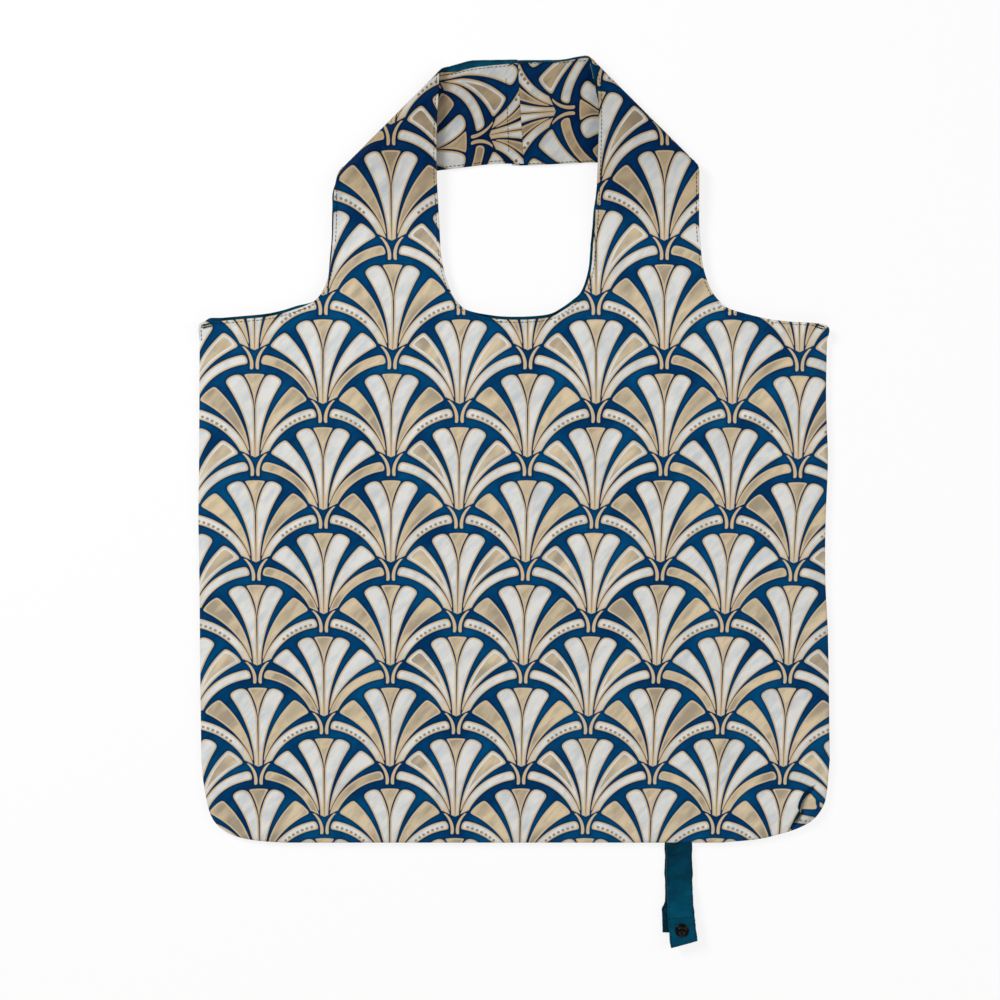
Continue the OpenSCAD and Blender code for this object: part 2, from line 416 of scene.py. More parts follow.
def fanShapes(graph, place):
    x = graph.add("ShaderNodeSeparateXYZ", {}, [place], "X")
    y = x.out("Y")

    def arc(name, inside, grow=0.0):
        return edge(graph, place, petals[name], inside, grow)

    foot = (x * 0.486 - y - 2) / 1.11
    side = arc("trumpetSide", (0, 60))
    trumpet = side.roundMost(arc("trumpetTop", (0, 60)), 2.2).most(37.7 - y)
    beside = (graph.step(y, 38, 50) * 0.9 + 0.7 - side).least((y - 37.7) * 8)
    inner = beside.most(y * 0.012 + 0.25 - x).most(arc("innerSide", (8, 45)))
    inner = inner.roundMost(arc("innerTop", (12, 50)).least(y - 52.6), 4.5).most(foot)
    outer = arc("outerTop", (25, 40)).roundMost(arc("outerLow", (25, 40)), 0.6)
    outer = outer.roundMost(arc("outerEnd", (25, 40)), 3.4).most(foot)
    band = arc("bandTop", (30, 28)).roundMost(arc("bandLow", (30, 28)), 0.6)
    band = band.roundMost(arc("bandEnd", (42, 32)).least(x - 40), 3.2).most(foot)
    leaf = arc("leafOut", (3.4, -9)).most(arc("leafIn", (3.4, -9))).roundMost(-17.4 - y, 2.4)
    leaf = leaf.most(y - 0.5)
    return {"x": x, "y": y, "trumpet": trumpet, "inner": inner, "outer": outer, "band": band, "leaf": leaf}


def within(graph, distance, edgeAt=0.0, blur=0.22):
    return 1 - graph.step(distance, edgeAt - blur, edgeAt + blur)


def fanDots(graph, shapes):
    # a row of dots along the middle of the band
    pairs = zip(petals["bandTop"], petals["bandLow"])
    middle = [tuple((p + q) / 2 for p, q in zip(a, b)) for a, b in pairs]
    (cx, cy), radius = circleThrough(*middle)
    x, y = shapes["x"] - cx, shapes["y"] - cy
    across = (x * x + y * y).calc("SQRT") - (radius - 1.1)
    along = (y.calc("ARCTAN2", x) * radius - 92.5).calc("PINGPONG", 2.14)
    dot = (along * along * 0.7 + across * across).calc("SQRT")
    reach = graph.step(shapes["x"], 20.5, 20.9) * (1 - graph.step(shapes["x"], 45.0, 45.4))
    return within(graph, dot, 1.12) * reach


def fanPrint(graph):
    # half-drop rows of fans: one kind stands in every second column, and two others take turns between them
    uv = graph.add("ShaderNodeUVMap", {"uv_map": "print"})
    u = graph.add("ShaderNodeSeparateXYZ", {}, [uv], "X")
    v = u.out("Y")
    half = fan["columnStep"] / 2
    turn = (u / (2 * half)).calc("FLOOR").calc("WRAP", 2.0, -1.0)
    edged = graph.step(turn, -0.8, -0.6)                  # petals with a border, in two columns of three
    made = []
    for shift, kind in ((0, "dotted"), (1, "plain")):
        x = (u + shift * half).calc("PINGPONG", half)
        y = (v + shift * fan["rowStep"] / 2).calc("WRAP", fan["foot"] + fan["rowStep"], fan["foot"])
        place = graph.add("ShaderNodeCombineXYZ", {}, [x, y, 0.0])
        shapes = fanShapes(graph, place)
        small = shapes["trumpet"].least(shapes["leaf"])
        tan = within(graph, small)
        if kind == "dotted":
            tan = tan.most(within(graph, shapes["outer"]))
            dots = fanDots(graph, shapes)
        else:
            tan = tan.most(within(graph, shapes["outer"], -2.6) * edged)
            tan = tan.most(within(graph, shapes["band"]) * (1 - edged))
        wide = shapes["inner"].least(shapes["outer"]).least(shapes["band"])
        slim = graph.step(y, -4, 26) * 0.25 + 0.75        # outlines are finer at the foot
        fill = within(graph, (wide / slim).least(small), -1.1)
        lined = within(graph, wide.least(small), 0.12)
        halo = within(graph, wide.least(small), 1.6, 0.8)
        blush = (1 - graph.step(y, 2, 15)) * within(graph, wide)
        made.append([tan, fill, lined, halo, blush])
    tan, fill, lined, halo, blush = [a.most(b) for a, b in zip(*made)]
    return {"uv": uv, "tan": tan, "fill": fill, "lined": lined, "halo": halo, "dots": dots, "blush": blush}


def weave(graph, uv, scale=2.2):
    # fine plain weave, with its threads a fraction of a millimetre apart
    across = graph.add("ShaderNodeTexWave", {"bands_direction": "X"}, {"Vector": uv, "Scale": scale})
    along = graph.add("ShaderNodeTexWave", {"bands_direction": "Y"}, {"Vector": uv, "Scale": scale})
    return across * 0.5 + along * 0.5


def printedCloth():
    graph = Graph("printedSatin")
    parts = fanPrint(graph)
    uv = parts["uv"]
    # painted satin sheen: soft diagonal patches lighten and darken the white, tan and navy in place of the
    # satin's reflections, together with the print's own uneven watercolour tone
    skewed = graph.add("ShaderNodeMapping", {"vector_type": "TEXTURE"},
                       {"Vector": uv, "Rotation": (0, 0, -0.72), "Scale": (8, 26, 1)})
    cloud = graph.noise(skewed, 1.0, 3.0, 0.6)
    moved = graph.add("ShaderNodeVectorMath", {"operation": "ADD"}, [skewed, (7.3, 3.1, 0)])
    other = graph.noise(moved, 0.8, 2.0)
    broad = graph.noise(uv, 0.021, 1.0)
    # painted shade: the handles' cloth is darkened, the straps partly and the bar fully, for the shade they
    # lie in
    v = graph.add("ShaderNodeSeparateXYZ", {}, [uv], "Y")
    depth = graph.step(v, 84, 150) * 0.85 + graph.step(v, 218, 236) * 0.15
    white = graph.mix(graph.step(cloud, 0.42, 0.68) * 0.75, dyeAndSheen["white"], dyeAndSheen["cool"])
    tan = graph.mix(graph.step(broad * 0.45 + other * 0.55, 0.4, 0.58), dyeAndSheen["tan"], dyeAndSheen["sand"])
    # painted shade and sheen: tan is darkened towards the dot colour in soft patches and on the handles
    tan = graph.mix(graph.step(cloud, 0.5, 0.62) * 0.3 + depth * 0.42, tan, dyeAndSheen["dot"])
    ground = graph.mix(graph.step(broad * 0.6 + cloud * 0.4, 0.4, 0.62), dyeAndSheen["deep"], dyeAndSheen["ground"])
    ground = graph.mix(parts["halo"] * 0.6, ground, dyeAndSheen["shade"])
    lined = graph.mix(parts["lined"], ground, dyeAndSheen["outline"])
    white = graph.mix(parts["blush"] * 0.7, white, dyeAndSheen["outline"])
    petal = graph.mix(parts["tan"], white, tan)
    colour = graph.mix(parts["fill"], lined, petal)
    colour = graph.mix(parts["dots"], colour, dyeAndSheen["dot"])
    # painted shade on the handles: darkened towards black, then deepened further by the gamma below
    colour = graph.mix(depth * 0.16, colour, (0.0, 0.0, 0.0))
    colour = graph.add("ShaderNodeGamma", {}, [colour, depth * 0.25 + 1.0])
    fine = weave(graph, uv)
    crinkle = graph.noise(uv, 0.12, 3.0, 0.55)
    height = fine * 0.03 + crinkle * 0.25
    normal = graph.add("ShaderNodeBump", {}, {"Strength": 0.35, "Distance": mm, "Height": height})
    rough = cloud * 0.12 + 0.38
    return graph.surface(**{"Base Color": colour, "Roughness": rough, "Normal": normal,
                            "Specular IOR Level": 0.03})


def tealCloth(name, streak, low, high, fade=None):
    # plain satin with painted sheen: brighter and darker in soft streaks
    graph = Graph(name)
    uv = graph.add("ShaderNodeUVMap", {"uv_map": "print"})
    drawn = graph.add("ShaderNodeMapping", {"vector_type": "TEXTURE"}, {"Vector": uv, "Scale": streak})
    cloud = graph.noise(drawn, 1.0, 4.0, 0.6)
    light = graph.step(cloud, low, high)
    if fade:
        # painted sheen: with fade, the tape is also lighter further along its length
        light = light * 0.5 + graph.step(graph.add("ShaderNodeSeparateXYZ", {}, [uv], "Y"), *fade) * 0.42
    colour = graph.mix(light, dyeAndSheen["teal"], dyeAndSheen["tealLight"])
    fine = weave(graph, uv)
    crinkle = graph.noise(uv, 0.2, 3.0, 0.55)
    normal = graph.add("ShaderNodeBump", {}, {"Strength": 0.4, "Distance": mm,
                                               "Height": fine * 0.03 + crinkle * 0.3})
    return graph.surface(**{"Base Color": colour, "Roughness": cloud * 0.1 + 0.34, "Normal": normal,
                            "Specular IOR Level": 0.05})


def plainMaterial(name, colour, rough, grain, depth, **more):
    graph = Graph(name)
    place = graph.add("ShaderNodeTexCoord", {}, None, "Object")
    speck = graph.noise(place, grain, 3.0)
    shade = graph.mix(graph.step(speck, 0.3, 0.7) * 0.35, colour, tuple(c * 0.55 for c in colour))
    normal = graph.add("ShaderNodeBump", {}, {"Strength": 0.3, "Distance": depth, "Height": speck})
    return graph.surface(**{"Base Color": shade, "Roughness": rough + speck * 0.08, "Normal": normal,
                            **more})


printed = printedCloth()
teal = tealCloth("tealSatin", (20, 20, 1), 0.35, 0.7)
tape = tealCloth("tealTape", (26, 17, 1), 0.4, 0.68, (20, 62))
thread = plainMaterial("sewingThread", dyeAndSheen["thread"], 0.6, 2500, 0.0001, **{"Specular IOR Level": 0.1})
snapPlastic = plainMaterial("glossBlack", linear(6, 7, 8), 0.14, 900, 0.00002, **{"Specular IOR Level": 0.2})
print("materials made")


# Cloth pieces

cloth = {
    "thickness": 0.5,
    "hemWidth": 3.0,
    "pucker": 0.32,             # how far a hem's stitches gather it up and down
    "puckerPeriod": 11,
}


def addObject(name, data):
    made = bpy.data.objects.new(name, data)
    bpy.context.scene.collection.objects.link(made)
    return made


def makeMesh(name, points, faces, uv, materials, faceMaterial=None, normals=None):
    mesh = bpy.data.meshes.new(name)
    mesh.from_pydata([tuple(p) for p in place(points)], [], [tuple(int(k) for k in f) for f in faces])
    for material in materials:
        mesh.materials.append(material)
    if faceMaterial is not None:
        mesh.polygons.foreach_set("material_index", np.asarray(faceMaterial, np.int32))
    if uv is not None:
        layer = mesh.uv_layers.new(name="print")
        corners = np.empty(len(mesh.loops), np.int32)
        mesh.loops.foreach_get("vertex_index", corners)
        layer.data.foreach_set("uv", np.asarray(uv, float)[corners].astype(np.float32).ravel())
    mesh.polygons.foreach_set("use_smooth", [True] * len(mesh.polygons))
    if normals is not None:
        mesh.normals_split_custom_set_from_vertices([tuple(n) for n in normals])
    return addObject(name, mesh)


def gridFaces(rows, count):
    # the triangles of a grid of points, row by row
    faces = []
    for row in range(rows - 1):
        for k in range(count - 1):
            a = row * count + k
            faces += [(a, a + 1, a + count + 1), (a, a + count + 1, a + count)]
    return faces


def vertexNormals(points, faces):
    faces = np.asarray(faces)
    a, b, c = points[faces[:, 0]], points[faces[:, 1]], points[faces[:, 2]]
    flat = np.cross(b - a, c - a)
    normals = np.zeros_like(points)
    for k in range(3):
        np.add.at(normals, faces[:, k], flat)
    return normals / np.maximum(np.linalg.norm(normals, axis=1), 1e-9)[:, None]


def clothPiece(name, points, faces, uv, free, normals=None, outside=printed, inside=teal,
               thickness=cloth["thickness"]):
    # a sheet with its outside along the normals, its inside under it, and a turned edge along free lines
    normals = vertexNormals(points, faces) if normals is None else normals
    count = len(points)
    under = points - normals * thickness
    allPoints, allFaces = [points, under], [tuple(f) for f in faces]
    kinds = [0] * len(faces) + [1] * len(faces)
    allFaces += [tuple(count + k for k in reversed(f)) for f in faces]
    allNormals, allUv = [normals, -normals], [uv, uv]
    base = 2 * count
    for line in free:
        line = list(line)
        outer, inner = points[line], under[line]
        side = np.cross(np.gradient(outer, axis=0), normals[line])
        side /= np.maximum(np.linalg.norm(side, axis=1), 1e-9)[:, None]
        middle = (outer + inner) / 2 + side * thickness * 0.45
        allPoints += [outer, middle, inner]
        allNormals += [normals[line] * 0.5 + side, side, side - normals[line] * 0.5]
        allUv += [uv[line]] * 3
        length = len(line)
        for k in range(length - 1):
            for ring in (0, 1):
                a = base + ring * length + k
                allFaces.append((a, a + length, a + length + 1, a + 1))
                kinds.append(0)
        base += 3 * length
    return makeMesh(name, np.vstack(allPoints), allFaces, np.vstack(allUv),
                    [outside, inside], kinds, np.vstack(allNormals))


def matchCrease(points, normals, lines, back):
    # the body and the handles take the same normals where they meet
    at = abs(points[:, 1] - creaseY) < 0.05
    spots = points[at, :2]
    if len(spots):
        slope = [(bodyHeight(spots + step, lines, back) - bodyHeight(spots - step, lines, back)) / 2
                 for step in (np.array([1.0, 0]), np.array([0, 1.0]))]
        up = np.column_stack([-slope[0], -slope[1], np.ones(len(spots))])
        up /= np.linalg.norm(up, axis=1)[:, None]
        normals[at] = -up if back else up
    return normals


def rowIndex(points, line, limit=0.05):
    # the points of a mesh that lie along a line, in order
    off, along = locate(points, line)
    found = np.where(off < limit)[0]
    return found[np.argsort(along[found])]


def cutArea(plan, faces):
    faces = np.asarray(faces)
    a, b, c = plan[faces[:, 0], :2], plan[faces[:, 1], :2], plan[faces[:, 2], :2]
    return abs(np.cross(b - a, c - a)).sum() / 2 * mm * mm


def declare(plan, faces, rests):
    # the cloth's cut size, from its flat pattern
    size = (plan[:, :2].max(axis=0) - plan[:, :2].min(axis=0)) * mm
    float(cutArea(plan, faces))


def hemShape(off, along, seed):
    # a narrow turned hem: thicker than the cloth, pinched along its stitches, and gathered a little by them
    band = 0.3 * (1 - smooth(cloth["hemWidth"] - 0.4, cloth["hemWidth"] + 0.6, off))
    pinch = 0.28 * bump(off - outline["stitchIn"], 0.6)
    gather = cloth["pucker"] * wobble(along, seed, cloth["puckerPeriod"]) * np.exp(-off / 8)
    return band - pinch + gather


def stitchMesh(paths, pitch=3.3, length=2.7, wide=0.26, raised=0.26):
    # a run of separate stitches lying along each path of (points, normals)
    points, faces, normals = [], [], []
    for line, up in paths:
        along = measure(line)
        for start in np.arange(0.4, along[-1] - length, pitch):
            spots = start + length * np.array([0, 0.18, 0.5, 0.82, 1])
            middle = np.stack([np.interp(spots, along, line[:, k]) for k in range(3)], axis=1)
            out = np.stack([np.interp(spots, along, up[:, k]) for k in range(3)], axis=1)
            out /= np.linalg.norm(out, axis=1)[:, None]
            way = middle[-1] - middle[0]
            way /= np.linalg.norm(way)
            side = np.cross(way, out)
            swell = np.array([0.15, 0.8, 1, 0.8, 0.15])[:, None]
            base = len(points)
            for turn in range(6):
                angle = turn * math.pi / 3
                around = math.cos(angle) * side + math.sin(angle) * out
                ring = middle + out * (raised * swell - 0.1) + around * wide * swell
                points.extend(ring)
                normals.extend(around)
            for turn in range(6):
                for k in range(4):
                    a, b = base + turn * 5 + k, base + (turn + 1) % 6 * 5 + k
                    faces.append((a, a + 1, b + 1, b))
    return np.array(points), faces, np.array(normals)


def stitches(name, paths, **settings):
    points, faces, normals = stitchMesh(paths, **settings)
    piece = makeMesh(name, points, faces, None, [thread], None, normals)
    return piece


def fold(points, line, width, rise, lean=0.5):
    # a raised crease along a line, steeper on its left side
    off, along = locate(points, line)
    total = measure(line)[-1]
    near = np.argmin(np.linalg.norm(points[:, None, :2] - line[None, ::4], axis=2), axis=1) * 4
    way = np.gradient(line, axis=0)[near]
    left = (way[:, 0] * (points[:, 1] - line[near, 1]) - way[:, 1] * (points[:, 0] - line[near, 0])) > 0
    fade = np.sin(np.clip(along / total, 0, 1) * math.pi) ** 0.7
    return rise * fade * bump(off, np.where(left, width * lean, width))


# Body: the front and back cloth, cut at the side folds

# each crease: points along it, width, rise and how much steeper its left side is
frontFolds = [
    ([(-152, 418), (-155, 392), (-158, 362)], 5, 2.2, 0.5),
    ([(-216, 402), (-220, 385), (-226, 362)], 6, 0.8, 0.7),
    ([(-140, 420), (-118, 372), (-104, 330)], 14, 0.9, 0.8),
    ([(72, 42), (83, 24), (84, 6)], 5, 1.0, 0.6),
    ([(174, 424), (177, 412), (182, 392)], 3.2, 2.0, 0.4),
    ([(168, 424), (170, 412), (172, 396)], 3.5, 1.4, 0.6),
    ([(-238, 42), (-226, 34), (-212, 26)], 6, 1.8, 0.6),
    ([(-240, 18), (-232, 22), (-216, 20)], 3.5, 2.0, 0.6),
    ([(-206, 3), (-198, 10), (-190, 24)], 4, 2.2, 0.5),
    ([(-196, 2), (-192, 8), (-180, 16)], 3, 1.8, 0.7),
    ([(-246, 62), (-238, 78), (-226, 90)], 6, 1.6, 0.6),
    ([(232, 60), (226, 48), (212, 40)], 8, 1.2, 0.7),
    ([(236, 92), (228, 76), (224, 58)], 6, 0.9, 0.6),
    ([(214, 30), (200, 20), (186, 14)], 6, 0.9, 0.6),
    ([(236, 372), (238, 340), (236, 306)], 7, 0.9, 0.7),
    ([(244, 30), (238, 24), (233, 20), (230, 9)], 2.4, 3.6, 0.4),
    ([(228, 30), (230, 21), (226, 9)], 2.2, 3.2, 0.5),
    ([(222, 44), (214, 34), (210, 18)], 7, 1.5, 0.8),
]
dart = {
    "line": [(241.3, 47), (236.2, 45.4), (230, 40.6), (226.4, 34), (225, 28.4), (226.2, 25.6), (222, 18.6),
             (219.6, 11), (219, 2)],
    "turn": math.radians(30),
    "from": (239, 34),          # the print found here is the one that would lie at "to"
    "to": (248, 29),
    "lap": 3.2,
    # hollow and hollowLength size the painted shade beside the pleat, and ground is the spot whose dark
    # print is painted into it
    "hollow": 4.6,
    "hollowLength": 29,
    "ground": (237, 40),
}
creases = {
    "seed": 5,
    "count": 44,
    "halfLength": (14, 46),
    "rise": (0.8, 2.0),
    "steep": 2.8,
    "gentle": (7, 15),
}


def softCreases(points):
    # long shallow waves, and shorter creases that mostly point outwards from the middle
    x, y = points[:, 0], points[:, 1]
    height = 1.1 * wobble(x + 0.5 * y, 0.7, 171) * wobble(y - 0.6 * x, 1.6, 143)
    chance = np.random.default_rng(creases["seed"])
    for k in range(creases["count"]):
        cx, cy = chance.uniform((-230, 18), (230, 400))
        angle = math.atan2(cy - 215, cx) + chance.normal(0, 0.9)
        half = chance.uniform(*creases["halfLength"])
        along = (x - cx) * math.cos(angle) + (y - cy) * math.sin(angle)
        across = (y - cy) * math.cos(angle) - (x - cx) * math.sin(angle)
        across = across + chance.normal(0, 0.004) * along ** 2
        width = np.where(across > 0, creases["steep"], chance.uniform(*creases["gentle"]))
        height = height + chance.uniform(*creases["rise"]) * bump(along, half) * bump(across, width)
    return height


def bodyHeight(points, lines, back):
    # how high the cloth lies off the table
    near, alongSeam = locate(points, seamLine(lines))
    roll = np.sqrt(np.clip(1 - (1 - np.clip(near / outline["seamRound"], 0, 1)) ** 2, 0, 1))
    hem = 0
    for name in ("leftArm", "neck", "rightArm"):
        hem = hem + hemShape(*locate(points, lines[name]), 1.3 if back else 0.4)
    if back:
        flat = outline["backZ"] + 0.3 * abs(hem)
        return outline["seamZ"] + (flat - outline["seamZ"]) * roll
    gather = 0.22 * wobble(alongSeam, 2.2, 13) * np.exp(-near / 9) * smooth(0.5, 4, near)
    waves = softCreases(points) * smooth(6, 34, near) * smooth(creaseY, 430, points[:, 1])
    height = outline["frontZ"] + waves - 0.5 * (1 - smooth(0, 26, near))
    for line, width, rise, lean in frontFolds:
        height = height + 0.8 * fold(points, curve(line, 3), width, rise, lean) * smooth(0, 6, near)
    height = height + (hem + gather) * smooth(0, 5, near)
    return outline["seamZ"] + (height - outline["seamZ"]) * roll


def makeBody(back):
    lines = bodyLines(back)
    closed = bodyBorder(lines)
    border = closed[:-1]
    rows = []
    for name in ("leftArm", "neck", "rightArm"):
        for distance in hemRows:
            row = offset(lines[name], -distance)
            keep = (gap(row, closed) > distance * 0.97) & (row[:, 1] < creaseY - 1)
            rows.append(spread(row[keep], 2.5))
    for distance in (0.4, 1.2, 2.4, 4.2, 6.6):
        row = offset(seamLine(lines), distance)
        rows.append(row[gap(row, closed) > distance * 0.97])
    for x in (-sideFold, sideFold):
        rows.append(np.array([(x, y) for y in np.arange(7.5, 430, 2.5)]))
    if not back:
        pleat = curve(dart["line"], 1.6)
        for distance in (0, 1.3, -1.3, 2.8, -2.8):
            row = offset(pleat, distance) if distance else pleat
            keep = (gap(row, pleat) > abs(distance) * 0.95) & (gap(row, closed) > 3)
            rows.append(row[keep] if distance else pleat[gap(pleat, closed) > 2.2])
    plan, faces = triangulate(border, outline["spacing"], rows)
    points = np.column_stack([plan, bodyHeight(plan, lines, back)])
    uv = printPlace(points, back)
    if not back:
        points, faces, uv = addDart(points, faces, uv, lines)
    faces = [f if not back else f[::-1] for f in faces]
    return points, faces, uv, lines


def addDart(points, faces, uv, lines):
    # a small pleat near the corner: the cloth past it comes out from under it, turned
    line = curve(dart["line"], 1.6)
    way = np.gradient(line, axis=0)
    way /= np.linalg.norm(way, axis=1)[:, None]

    def beside(spots):
        k = np.argmin(np.linalg.norm(spots[:, None, :2] - line[None], axis=2), axis=1)
        arm = spots[:, :2] - line[k]
        return way[k, 0] * arm[:, 1] - way[k, 1] * arm[:, 0], way[k]

    off, along = locate(points, line)
    onLine = (off < 0.3) & (along > 0.8)
    past = beside(np.array([points[list(f)].mean(axis=0) for f in faces]))[0] > 0
    order = list(np.where(onLine)[0])
    twin = {k: len(points) + n for n, k in enumerate(order)}
    newFaces = [tuple(twin.get(k, k) for k in f) if flag else tuple(f) for f, flag in zip(faces, past)]
    aside, ways = beside(points)
    off, along = np.concatenate([off, off[order]]), np.concatenate([along, along[order]])
    right = np.concatenate([(aside > 0) & ~onLine, np.ones(len(order), bool)])
    points, uv = np.vstack([points, points[order]]), np.vstack([uv, uv[order]])
    depth = smooth(0, 13, along)
    # its print is turned
    part = depth * (1 - smooth(13, 26, off)) * right
    angle = part * dart["turn"]
    arm = points[:, :2] - dart["from"]
    turned = np.stack([np.cos(angle) * arm[:, 0] - np.sin(angle) * arm[:, 1],
                       np.sin(angle) * arm[:, 0] + np.cos(angle) * arm[:, 1]], axis=1)
    uv = uv + turned - arm + part[:, None] * (np.array(dart["to"]) - dart["from"])
    # painted shade: the hollow beside the pleat shows only the print's dark ground, in place of its shadow
    wide = dart["hollow"] * np.sin(np.clip((along - 4) / dart["hollowLength"], 0, 1) * math.pi) ** 0.6
    ground = uv[np.argmin(np.linalg.norm(points[:, :2] - dart["ground"], axis=1) + 99 * ~right)]
    uv = np.where((right & (off < wide))[:, None], ground + 0.05 * (uv - ground), uv)
    sewn = smooth(0.5, 9, gap(points, seamLine(lines)))
    dip = 1.2 * bump(off - 9, 3.5) - 5.6 * bump(off, 4.8)
    rise = 3.4 * bump(off, 6) - 1.4 * bump(off, 1.2)
    points[:, 2] += depth * sewn * np.where(right, dip, rise)
    # and it carries on a little way under the pleat
    count = len(twin)
    lap = (dart["lap"] * depth * sewn)[-count:, None] * np.stack([ways[order, 1], -ways[order, 0]], axis=1)
    points[-count:, :2] += lap
    uv[-count:] += lap
    return points, newFaces, uv


def splitBody(points, faces, uv, lines, back):
    side = "back" if back else "front"
    normals = matchCrease(points, vertexNormals(points, faces), lines, back)
    faces = np.asarray(faces)
    middle = points[faces].mean(axis=1)[:, 0]
    parts = {"Left": middle < -sideFold, "Middle": abs(middle) <= sideFold, "Right": middle > sideFold}
    pieces = {}
    for part, chosen in parts.items():
        used, own = np.unique(faces[chosen], return_inverse=True)
        own = own.reshape(-1, 3)
        local, up = points[used], normals[used]
        free, paths = [], []
        for name in ("leftArm", "neck", "rightArm"):
            row = rowIndex(local, lines[name])
            if len(row) > 1:
                free.append(row[::-1] if back else row)
            row = rowIndex(local, offset(lines[name], -outline["stitchIn"]), 0.12)
            if len(row) > 2:
                paths.append((local[row], up[row]))
        name = side + "Cloth" + part
        piece = clothPiece(name, local, own, uv[used], free, up)
        sewn = stitches(side + "Stitches" + part, paths)
        declare(local, own, ["floor"] if back else ["backCloth" + part])
        pieces[part] = (piece, sewn)
    return pieces


foldWidth = 16                  # a distance past each side fold
creaseReach = (-2, 16)          # and a reach below and above the handles' crease, from below it to above it


def follow(piece, part):
    # a piece on the body's middle is attached to the bag; a side piece only has its transform baked
    if part == "Middle":
        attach(piece, "bag")
        return
    sign, body = (-1, "left_side") if part == "Left" else (1, "right_side")
    tuple(place([[sign * sideFold, 200, 4]])[0])
    tuple(place([[sign * (sideFold + foldWidth), 200, 4]])[0])
    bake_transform(piece)


bodyCloth = {}
for back in (True, False):
    points, faces, uv, lines = makeBody(back)
    side = "back" if back else "front"
    bodyCloth[side] = (points, faces, lines)
    for part, (piece, sewn) in splitBody(points, faces, uv, lines, back).items():
        follow(piece, part)
        follow(sewn, part)
        if part == "Middle":
            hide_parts(side + "_panel")
            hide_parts("neck_hem_" + side)
        else:
            edge = part.lower()
            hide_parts(f"{side}_panel_{edge}")
            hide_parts(f"arm_hem_{side}_{edge}")
print("body made")


allowance = {
    "rows": ((0.6, 3.8), (4, 3.7), (7.5, 3.3), (10.8, 3.1)),      # distance from the seam, and height
    "waves": 0.25,
    "thickness": 0.7,
    "width": 10.2,
    "end": 1.3,                 # how far each side's one runs past its side fold
}


def makeAllowance(name, line, part, nodes):
    # the seam's raw edges, turned inside along it
    rows = []
    for k, (distance, z) in enumerate(allowance["rows"]):
        row = offset(line, distance)
        height = np.full(len(row), z) + allowance["waves"] * wobble(measure(row), k, 17)
        rows.append(np.column_stack([row, height]))
    points = np.vstack(rows)
    count = len(line)
    faces = gridFaces(len(rows), count)
    ends = [list(range(len(points) - count, len(points)))[::-1], list(range(count))]
    piece = clothPiece(name, points, faces, points[:, :2].copy(), ends, None, teal, teal,
                       allowance["thickness"])
    float(measure(line)[-1]) * mm
    follow(piece, part)
    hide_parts(*nodes)


frontLines = bodyCloth["front"][2]
leftSeam = chain(frontLines["leftSide"][::-1], frontLines["leftCorner"], frontLines["bottom"])
rightSeam = chain(frontLines["bottom"], frontLines["rightCorner"], frontLines["rightSide"][::-1])
keepLeft = leftSeam[:, 0] < -sideFold + allowance["end"]
keepRight = rightSeam[:, 0] > sideFold - allowance["end"]
middleSeam = spread([(-sideFold + 1, 0), (sideFold - 1, 0)], 4)
makeAllowance("sideSeamLeft", leftSeam[keepLeft], "Left",
              ["side_seam_left", "side_allowance_left", "corner_tuck_left", "bottom_seam_left"])
makeAllowance("sideSeamRight", rightSeam[keepRight], "Right",
              ["side_seam_right", "side_allowance_right", "corner_tuck_right", "bottom_seam_right"])
makeAllowance("bottomSeam", middleSeam, "Middle", ["bottom_seam", "bottom_allowance"])


bartack = {
    "rows": (-1.0, 0.9),        # how far each row lies to the side
    "swing": 0.35,
    "turn": 1.7,
    "depth": 1.1,               # how far it lies under the top of the cloth
}


def makeBartack(name, start, end, part, node):
    # a tight zigzag of thread across the top of a side seam
    line = spread([start, end], 0.5)
    way = np.array(end, float) - start
    side = np.array([-way[1], way[0]]) / np.linalg.norm(way)
    paths = []
    for shift in bartack["rows"]:
        row = line + side * shift
        row = row + side * bartack["swing"] * np.sin(np.arange(len(row)) * bartack["turn"])[:, None]
        spot = np.column_stack([row, np.full(len(row), clothTop - bartack["depth"])])
        paths.append((spot, np.tile([0, 0, 1.0], (len(row), 1))))
    piece = stitches(name, paths, pitch=1.3, length=1.7, wide=0.5, raised=0.5)
    follow(piece, part)
    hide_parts(node)


makeBartack("bartackLeft", (-250, 411.6), (-241.5, 413.6), "Left", "side_bartack_left")
makeBartack("bartackRight", (238.5, 413.2), (246.8, 410.6), "Right", "side_bartack_right")


# Handles: each half is a flat strap that goes up, over a 45 degree fold, and back under itself to the middle

handle = {
    "leftFold": 676.5,          # the left fold runs along y = x + leftFold
    "rightFold": 687,           # and the right one along y = rightFold - x
    "seamX": 4.4,               # where the halves meet
    "seamLean": 2.4,            # how far the seam leans: to the right at its foot, to the left at its top
    "overlap": 9,
    "spacing": 3.4,
}
# how each pair of halves folds: radius and heights of the fold, how far it lies in, the bar's edges
frontFold = {
    "radius": 4.6,
    "topZ": 10.4,
    "foldZ": 1.0,
    "barZ": 0.8,
    "inset": 0.0,
    "top": [(-64, 612), (-60, 617.6), (-54, 622), (-44, 624.4), (-20, 625.4), (50, 625.8), (60, 623.6),
            (66, 618)],
    "foot": [(-64, 538), (-15, 543), (66, 545)],
}
backFold = {
    "radius": 2.2,
    "topZ": 7.2,
    "foldZ": 2.6,
    "barZ": 2.6,
    "inset": 1.9,
    "top": [(-64, 612), (-60, 614), (-36, 618.6), (-12, 621.4), (10, 622.8), (50, 623.4), (60, 622),
            (66, 617)],
    "foot": [(-64, 535.6), (-40, 538.6), (-15, 541.4), (10, 541.2), (66, 543.8)],
}


